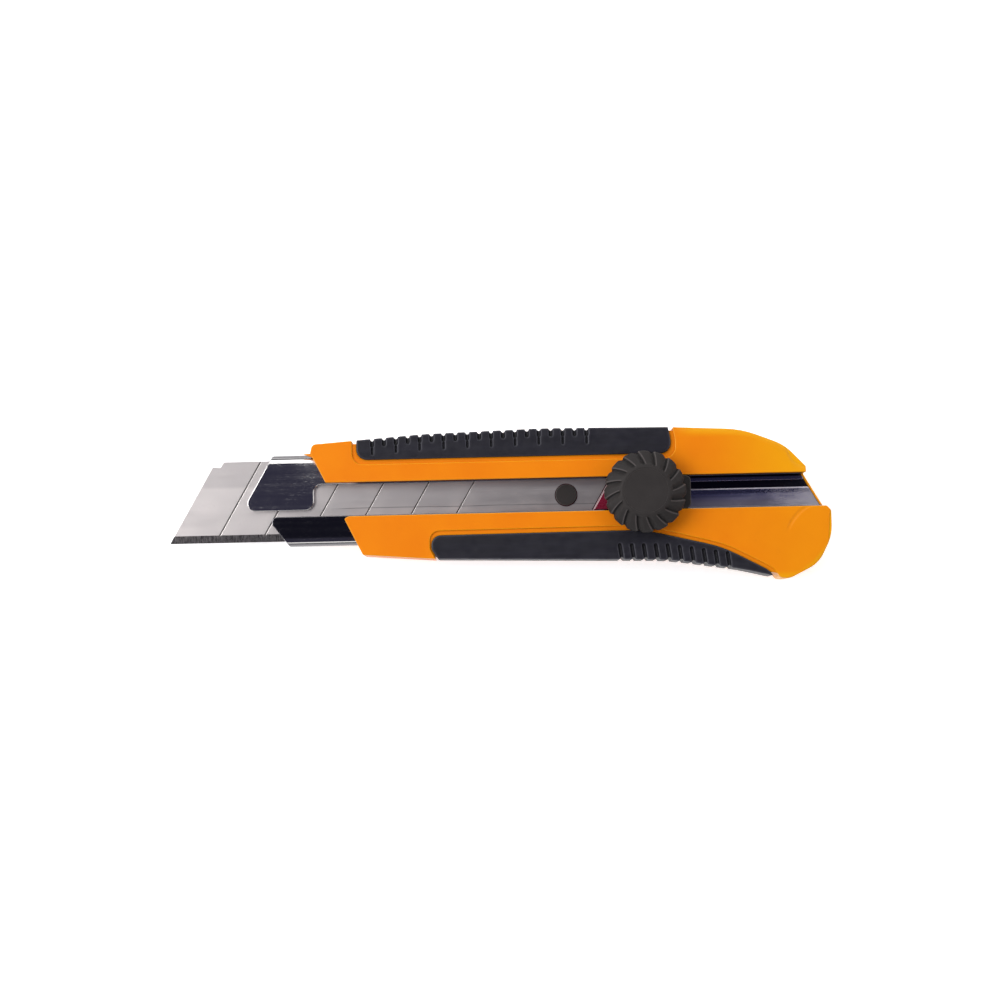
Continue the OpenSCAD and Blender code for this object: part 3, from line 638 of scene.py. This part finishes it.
def clean_copy(node):
    """A part's mesh with its facets merged into whole faces."""
    bm = bmesh.new()
    bm.from_mesh(nodes[node].data)
    bmesh.ops.remove_doubles(bm, verts=bm.verts, dist=MERGE * MM)
    bmesh.ops.dissolve_limit(bm, angle_limit=math.radians(FLAT), verts=bm.verts, edges=bm.edges)
    return bm


def finished_mesh(obj):
    """The object's mesh with its modifiers worked in, and the modifiers gone."""
    graph = bpy.context.evaluated_depsgraph_get()
    mesh = bpy.data.meshes.new_from_object(obj.evaluated_get(graph), depsgraph=graph)
    obj.modifiers.clear()
    old = obj.data
    obj.data = mesh
    bpy.data.meshes.remove(old)
    return mesh


def mark_edges(mesh, values):
    """Store how exposed each point is, from -1 in a hollow to 1 on a rounded edge."""
    mark = mesh.attributes.new("edge", "FLOAT", "POINT")
    mark.data.foreach_set("value", values)


print("points closer than", MERGE, "mm are merged")


# %% Find where a round has no room
NEIGHBOURS = 12        # how many edges further on an outline is tested for crossing itself


def crossings(mesh):
    """Points where the outline of a face runs across itself, since a round had no room there."""
    spots = []
    for face in mesh.polygons:
        count = face.loop_total
        if count < 5:
            continue
        u = face.normal.orthogonal().normalized()
        v = face.normal.cross(u)
        points = [mesh.vertices[i].co for i in face.vertices]
        flat = [Vector((point.dot(u), point.dot(v))) / MM for point in points]
        for i in range(count):
            for j in range(i + 2, min(i + NEIGHBOURS, i + count - 1)):
                hit = geometry.intersect_line_line_2d(
                    flat[i], flat[(i + 1) % count], flat[j % count], flat[(j + 1) % count])
                if hit is not None:
                    spots.append(points[j % count].copy())
    return spots


# %% Round a part's edges
WELD_NEAR = 0.8        # points this close to a crossing are welded, mm
WELD_REACH = 1.3       # if they are closer together than this many radii
TRIES = 6


def bend(edge):
    """Angle between an edge's two faces, in degrees: above 0 standing out, below 0 inside."""
    return math.degrees(edge.calc_face_angle_signed(0)) if len(edge.link_faces) == 2 else 0


def round_off(node, bm, radius, segments, limit):
    """Round the edges that stand out by more than limit degrees, and mark the rounds' points."""
    weight = bm.edges.layers.float.new("bevel_weight_edge")
    for edge in bm.edges:
        edge[weight] = float(bend(edge) > limit)
        edge.smooth = bend(edge) > -limit
    obj = new_object(node + "_finished", mesh_from(node + "_finished", bm))
    obj.data.materials.append(None)    # for the faces
    obj.data.materials.append(None)    # for the rounds, until they are marked
    bevel = obj.modifiers.new("rounds", "BEVEL")
    bevel.limit_method = "WEIGHT"
    bevel.width = radius * MM
    bevel.segments = segments
    bevel.use_clamp_overlap = False
    bevel.miter_outer = "MITER_SHARP"
    bevel.material = 1
    normals = obj.modifiers.new("normals", "WEIGHTED_NORMAL")
    normals.keep_sharp = True
    for face in obj.data.polygons:
        face.use_smooth = True
    mesh = finished_mesh(obj)
    values = [1.0] * len(mesh.vertices)
    for face in mesh.polygons:
        if face.material_index == 0:
            for i in face.vertices:
                values[i] = 0.0
        face.material_index = 0
    mark_edges(mesh, values)
    print(obj.name, len(mesh.vertices), "points")
    return obj


def soften(node, radius, segments=4, limit=28):
    """A copy of a part with its outer corners rounded. Where a corner has no room for its round,
    the points around it are welded, and the rounding is tried again."""
    tight = []
    for attempt in range(TRIES):
        bm = clean_copy(node)
        near = [
            vert for vert in bm.verts
            if any((vert.co - spot).length < WELD_NEAR * MM for spot in tight)
        ]
        bmesh.ops.remove_doubles(bm, verts=near, dist=WELD_REACH * radius * MM)
        obj = round_off(node, bm, radius, segments, limit)
        found = crossings(obj.data)
        if not found:
            break
        tight += found
        if attempt < TRIES - 1:
            bpy.data.objects.remove(obj)
    print(node, "welded near", len(tight), "points, left", len(found))
    return obj


# %% Hand a piece over
def dress(obj, node, material, slot_name):
    """Give a finished piece its material and body, and hide the node that it stands for; slot_name is
    not used.
    """
    obj.data.materials.clear()
    obj.data.materials.append(material)
    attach(obj, nodes[node]["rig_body"])
    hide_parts(node)
    return obj


# %% The parts that show
# Each part's edge radius in mm, its finish and its slot
SOFTENED = {
    "handle_body": (0.25, orange_abs, "orange_abs"),
    "back_cover": (0.3, orange_abs, "orange_abs"),
    "blade_channel": (0.25, channel_steel, "channel_steel"),
    "slider": (0.2, slider_acetal, "slider_plastic"),
    "blade_stud": (0.25, knob_nylon, "knob_plastic"),
    "clamp_plate": (0.3, knob_nylon, "knob_plastic"),
    "knob_cap": (0.06, knob_nylon, "knob_plastic"),
}
for node, (radius, material, slot_name) in SOFTENED.items():
    dress(soften(node, radius), node, material, slot_name)


# %% [markdown]
# ## Rubber grips
# Rubber is soft in shape too: its ribs are pillows and its gaps have no sharp bottom. Each grip is
# rebuilt as an even skin of small faces, and that skin is relaxed a few times, which melts the
# corners by about 0.4 mm. How far a point then stands above its neighbours says how exposed it
# is: there the finish gets a painted highlight, and where it lies below them, a painted shade.

# %% Skin the grips evenly and relax them
VOXEL = 0.25           # size of the skin's faces, mm
RELAXED = 4            # times the skin is relaxed
EXPOSED = 0.035        # a point this far above its neighbours counts as fully exposed, mm


def melt(node):
    """A copy of a part in even faces with melted corners."""
    obj = new_object(node + "_finished", mesh_from(node + "_finished", clean_copy(node)))
    skin = obj.modifiers.new("skin", "REMESH")
    skin.mode = "VOXEL"
    skin.voxel_size = VOXEL * MM
    skin.use_smooth_shade = True
    relax = obj.modifiers.new("relax", "SMOOTH")
    relax.factor = 0.5
    relax.iterations = RELAXED
    mesh = finished_mesh(obj)
    bm = bmesh.new()
    bm.from_mesh(mesh)
    values = []
    for vert in bm.verts:
        ring = [edge.other_vert(vert).co for edge in vert.link_edges]
        middle = sum(ring, Vector()) / len(ring)
        above = (vert.co - middle).dot(vert.normal) / (EXPOSED * MM)
        values.append(max(-1.0, min(1.0, above)))
    bm.free()
    mark_edges(mesh, values)
    print(obj.name, len(mesh.polygons), "faces")
    return obj


for node in ("upper_grip", "lower_grip"):
    dress(melt(node), node, grip_rubber, "grip_rubber")


# %% [markdown]
# ## The blade
# The blade keeps its own outline and score lines. A stamped strip has burrs of a few hundredths
# only, so its rounds are tiny. The faces of the cutting bevel get the cross-ground steel, painted
# darker, a painted shade.

# %% Blade with its own bevel finish
blade = dress(soften("blade", 0.05, segments=2, limit=6), "blade", blade_steel, "blade_steel")
blade.data.materials.append(edge_steel)
BEVEL_REACH = 3            # the cutting bevel lies within this distance of the edge, mm
BEVEL_LEANS = (0.05, 0.5)  # its faces' normals lean between these in Y
BEVEL_STRAIGHT = 0.02      # and hardly at all in X
bevel_top = span("blade")[0].y + BEVEL_REACH
for face in blade.data.polygons:
    leaning = BEVEL_LEANS[0] < abs(face.normal.y) < BEVEL_LEANS[1]
    straight = abs(face.normal.x) < BEVEL_STRAIGHT
    if leaning and straight and face.center.y / MM < bevel_top:
        face.material_index = 1
print("bevel faces", sum(f.material_index for f in blade.data.polygons))


# %% [markdown]
# ## The knob
# The knob's ring slopes from the cap down to the rim, and sixteen swept flutes run out across it.
# Each is a ramp that ends in a small step, like the blades of a turbine, so a thumb can push either
# way. A plain lathe body is made in mesh code, and a node tree presses the flutes into it: their
# number, sweep and depth are inputs, so the same tree fits any knob.

# %% Sizes from the frame
knob_low, knob_high = span("knob")
knob_x = (knob_low.x + knob_high.x) / 2
knob_r = (knob_high.y - knob_low.y) / 2
cap_r = (span("knob_cap")[1].y - span("knob_cap")[0].y) / 2
LOBES = 16
POINTS_PER_LOBE = 28
insert_low, insert_high = span("threaded_insert")
insert_r = (insert_high.y - insert_low.y) / 2
washer_high = span("thrust_washer")[1].z
print("knob radius", round(knob_r, 2), "cap radius", round(cap_r, 2))


# %% Turn a section round the axis
def lathe(name, profile, steps):
    """Turn a closed profile of (radius, height) points in mm round the knob's axis."""
    bm = bmesh.new()
    rings = []
    for r, z in profile:
        if r < 1e-6:
            rings.append([bm.verts.new((0, 0, z * MM))] * steps)
            continue
        ring = []
        for k in range(steps):
            turn = 2 * math.pi * k / steps
            ring.append(bm.verts.new((r * MM * math.cos(turn), r * MM * math.sin(turn), z * MM)))
        rings.append(ring)
    for a, b in zip(rings, rings[1:] + rings[:1]):
        for k in range(steps):
            quad = []
            for vert in (a[k], b[k], b[(k + 1) % steps], a[(k + 1) % steps]):
                if vert not in quad:
                    quad.append(vert)
            if len(quad) > 2:
                bm.faces.new(quad)
    bmesh.ops.recalc_face_normals(bm, faces=bm.faces)
    for face in bm.faces:
        face.smooth = True
    return mesh_from(name, bm)


def steps_between(a, b, count):
    """Points from a towards b in even steps, without b."""
    return [(a[0] + (b[0] - a[0]) * k / count, a[1] + (b[1] - a[1]) * k / count) for k in range(count)]


# %% Lathe body
FIT = 0.02             # gap to the insert and to the cap, mm
rim_z = knob_high.z - 3.2
seat_z = knob_high.z - 1
sleeve_z = washer_high + 0.05
foot_r = insert_r + 2.6
# The section's corners as (radius, height), and the number of steps from each to the next
section = [
    ((insert_r + FIT, sleeve_z), 2),
    ((foot_r, sleeve_z), 2),
    ((foot_r, knob_low.z), 4),
    ((knob_r - 0.8, knob_low.z), 3),
    ((knob_r - 0.15, knob_low.z + 0.4), 3),
    ((knob_r, knob_low.z + 1.0), 8),
    ((knob_r, rim_z - 0.6), 5),
    ((knob_r - 0.5, rim_z + 0.15), 30),
    ((cap_r + 1.2, knob_high.z - 0.3), 4),
    ((cap_r + 0.6, knob_high.z - 0.06), 4),
    ((cap_r + FIT, knob_high.z), 3),
    ((cap_r + FIT, seat_z), 3),
    ((insert_r + FIT, seat_z), 6),
]
profile = []
for (here, count), (there, _) in zip(section, section[1:] + section[:1]):
    profile += steps_between(here, there, count)
knob = new_object("knob_finished", lathe("knob_finished", profile, LOBES * POINTS_PER_LOBE))
print("knob body", len(knob.data.vertices), "points")

# %% [markdown]
# The flutes are a rule on the angle. One turn of the angle is cut into equal lobes; within a lobe
# the surface climbs from the groove to the crest and then drops at a step. The groove's angle grows
# with the radius, which sweeps it. The same rule nips the rim, which scallops the outline.

# %% A geometry tree, and running it
def group_with(name, inputs):
    """A geometry tree with named inputs (name, kind, value)."""
    tree = bpy.data.node_groups.new(name, "GeometryNodeTree")
    tree.interface.new_socket("Geometry", in_out="INPUT", socket_type="NodeSocketGeometry")
    for label, kind, value in inputs:
        socket = tree.interface.new_socket(label, in_out="INPUT", socket_type="NodeSocket" + kind)
        if value is not None:
            socket.default_value = value
    tree.interface.new_socket("Geometry", in_out="OUTPUT", socket_type="NodeSocketGeometry")
    return tree, add(tree, "NodeGroupInput", out=None), add(tree, "NodeGroupOutput", out=None)


def run_group(obj, tree, **values):
    """Run the tree on the object with these inputs, and keep the result as a plain mesh."""
    modifier = obj.modifiers.new(tree.name, "NODES")
    modifier.node_group = tree
    for item in tree.interface.items_tree:
        key = item.name.replace(" ", "_")
        if item.item_type == "SOCKET" and item.in_out == "INPUT" and key in values:
            modifier[item.identifier] = values[key]
    return finished_mesh(obj)


# %% Where a point lies within its lobe
flutes, given, result = group_with("swept_flutes", [
    ("Lobes", "Int", 16), ("Sweep", "Float", 0.2), ("Depth", "Float", 0.0004), ("Nip", "Float", 0.0005),
    ("Inner", "Float", 0.007), ("Outer", "Float", 0.0125), ("Finish", "Material", None),
])
spot = add(flutes, "GeometryNodeInputPosition")
xyz = add(flutes, "ShaderNodeSeparateXYZ", spot, out=None).outputs
radius = add(flutes, "sqrt",
    add(flutes, "add",
        add(flutes, "multiply", xyz[0], xyz[0]), add(flutes, "multiply", xyz[1], xyz[1])))
angle = add(flutes, "arctan2", xyz[1], xyz[0])
out = add(flutes, "divide",
    add(flutes, "subtract", radius, given.outputs["Inner"]),
    add(flutes, "subtract", given.outputs["Outer"], given.outputs["Inner"]))
swept = add(flutes, "subtract", angle, add(flutes, "multiply", out, given.outputs["Sweep"]))
WHOLE_TURNS = 64.0     # added so that the count below never falls under 0
per_turn = add(flutes, "divide", given.outputs["Lobes"], 2 * math.pi)
lobe_count = add(flutes, "add", add(flutes, "multiply", swept, per_turn), WHOLE_TURNS)
phase = add(flutes, "fract", lobe_count)
print("inputs:", [item.name for item in flutes.interface.items_tree])

# %% How deep each flute sinks, and how far it nips the rim
ramp = add(flutes, "fade", phase, 0.0, 0.5, 1.0, 0.0)
step = add(flutes, "fade", phase, 0.9, 1.0, 0.0, 1.0)
groove = add(flutes, "maximum", ramp, step)
starts = add(flutes, "fade", out, 0.03, 0.2, 0.0, 1.0)
top_side = add(flutes, "fade", xyz[2], (rim_z - 2.6) * MM, (rim_z - 0.2) * MM, 0.0, 1.0)
sink = add(flutes, "multiply",
    add(flutes, "multiply", groove, starts),
    add(flutes, "multiply", add(flutes, "multiply", given.outputs["Depth"], top_side), -1.0))
nip_ramp = add(flutes, "fade", phase, 0.0, 0.3, 1.0, 0.0)
nip_step = add(flutes, "fade", phase, 0.82, 1.0, 0.0, 1.0)
rim = add(flutes, "fade", out, 0.75, 1.0, 0.0, 1.0)
nip = add(flutes, "multiply",
    add(flutes, "maximum", nip_ramp, nip_step), add(flutes, "multiply", rim, given.outputs["Nip"]))
pull = add(flutes, "multiply", add(flutes, "divide", nip, radius), -1.0)
pull_x = add(flutes, "multiply", xyz[0], pull)
pull_y = add(flutes, "multiply", xyz[1], pull)
offset = add(flutes, "ShaderNodeCombineXYZ", pull_x, pull_y, sink)
moved = add(flutes, "GeometryNodeSetPosition", {
    "Geometry": given.outputs["Geometry"], "Offset": offset})
print("flutes fade in from", round(rim_z - 2.6, 2), "mm up")

# %% Painted highlight on the crests, painted shade in the grooves, and the finished knob
crest = add(flutes, "multiply",
    add(flutes, "fade", phase, 0.72, 0.88, 0.0, 1.0),
    add(flutes, "fade", phase, 0.9, 0.96, 1.0, 0.0))
painted_groove_shade = add(flutes, "maximum",
    add(flutes, "fade", phase, 0.0, 0.16, 1.0, 0.0),
    add(flutes, "fade", phase, 0.95, 1.0, 0.0, 1.0))
flute_highlight_and_shade = add(flutes, "multiply", add(flutes, "subtract", crest, painted_groove_shade), starts)
worn = add(flutes, "GeometryNodeStoreNamedAttribute", {
    "Geometry": moved, "Name": "edge", "Value": flute_highlight_and_shade}, data_type="FLOAT", domain="POINT")
real = add(flutes, "GeometryNodeRealizeInstances", worn)
coated = add(flutes, "GeometryNodeSetMaterial", {
    "Geometry": real, "Material": given.outputs["Finish"]})
flutes.links.new(coated, result.inputs[0])
run_group(knob, flutes, Lobes=LOBES, Sweep=math.radians(12), Depth=0.8 * MM, Nip=0.6 * MM,
          Inner=(cap_r + 0.6) * MM, Outer=knob_r * MM, Finish=knob_nylon)
knob.data.transform(Matrix.Translation((knob_x * MM, 0, 0)))
dress(knob, "knob", knob_nylon, "knob_plastic")
print("knob", len(knob.data.vertices), "points")


# %% [markdown]
# ## Cover screws
# Four self-tapping screws hold the back cover. One screw is turned in mesh code, with a cross
# recess and raised threads, and a node tree sets a copy on each of the four points, each turned
# by its own angle, since nobody drives screws to the same angle.

# %% One screw's section, turned
screws_low, screws_high = span("cover_screws")
HEAD_R, HEAD_H = 2.6, 1.2
CORE_R, THREAD_R = 1.0, 1.28
THREADS = 5
THREAD_FROM = 1.6      # height of the first thread, mm
shank = screws_high.z - screws_low.z
screw_profile = [
    (0, 0.0), (HEAD_R - 0.5, 0.0), (HEAD_R - 0.12, 0.1), (HEAD_R, 0.35), (HEAD_R, HEAD_H),
    (1.2, HEAD_H),
]
for k in range(THREADS):
    low = THREAD_FROM + (shank - THREAD_FROM - 1.2) * k / THREADS
    screw_profile += [(CORE_R, low), (THREAD_R, low + 0.25), (CORE_R, low + 0.5)]
screw_profile += [(CORE_R - 0.1, shank - 0.6), (0.0, shank)]
screw = new_object("screw_pattern", lathe("screw_pattern", screw_profile, 48))
print("screw", round(shank, 1), "mm long")

# %% Its cross recess
recess = bmesh.new()
ARM, ARM_HALF = 1.4, 0.3      # reach and half width of the cross recess's arms, mm
DEEP = 0.8                    # its depth, mm
NARROWS = 0.7                 # its size at the bottom against its mouth
for half_x, half_y in ((ARM, ARM_HALF), (ARM_HALF, ARM)):
    for vert in bmesh.ops.create_cube(recess, size=2)["verts"]:
        vert.co = Vector((vert.co.x * half_x, vert.co.y * half_y, vert.co.z * DEEP)) * MM
        if vert.co.z > 0:
            vert.co.x *= NARROWS
            vert.co.y *= NARROWS
cutter = new_object("recess_cutter", mesh_from("recess_cutter", recess))
cut = screw.modifiers.new("recess", "BOOLEAN")
cut.operation = "DIFFERENCE"
cut.solver = "EXACT"
cut.use_self = True
cut.object = cutter
finished_mesh(screw)
bpy.data.objects.remove(cutter)
print("one screw", len(screw.data.vertices), "points")

# %% Four screws by Geometry Nodes
corners = bmesh.new()
for x_mm in (screws_low.x + HEAD_R, screws_high.x - HEAD_R):
    for y_mm in (screws_low.y + HEAD_R, screws_high.y - HEAD_R):
        corners.verts.new((x_mm * MM, y_mm * MM, screws_low.z * MM))
screws = new_object("cover_screws_finished", mesh_from("cover_screws_finished", corners))
planting, given, result = group_with("planted_screws", [
    ("Screw", "Object", None), ("Seed", "Int", 7), ("Finish", "Material", None)])
pattern = add(planting, "GeometryNodeObjectInfo", given.outputs["Screw"], out="Geometry")
twist = add(planting, "FunctionNodeRandomValue", {
    2: 0.0, 3: 2 * math.pi, "Seed": given.outputs["Seed"]}, data_type="FLOAT")
turn = add(planting, "ShaderNodeCombineXYZ", {"Z": twist})
planted = add(planting, "GeometryNodeInstanceOnPoints", {
    "Points": given.outputs["Geometry"], "Instance": pattern, "Rotation": turn})
real = add(planting, "GeometryNodeRealizeInstances", planted)
coated = add(planting, "GeometryNodeSetMaterial", {
    "Geometry": real, "Material": given.outputs["Finish"]})
planting.links.new(coated, result.inputs[0])
run_group(screws, planting, Screw=screw, Seed=7, Finish=zinc_steel)
bpy.data.objects.remove(screw)
dress(screws, "cover_screws", zinc_steel, "zinc_steel")
print("screws", len(screws.data.vertices), "points")


# %% [markdown]
# ## Parts that keep their engineering mesh
# The parts inside the knob and the channel hardly show. Their shape is right as it is, so they keep
# their mesh and only get their finish.

# %% Finishes for the inner parts
kept = {
    "channel_rivets": zinc_steel, "clamp_bolt": zinc_steel, "leaf_spring": spring_steel,
    "retaining_clip": spring_steel, "wave_washer": spring_steel, "thrust_washer": washer_nylon,
    "threaded_insert": brass,
}
for node, material in kept.items():
    nodes[node].data.materials.clear()
    nodes[node].data.materials.append(material)
print("kept", sorted(kept))
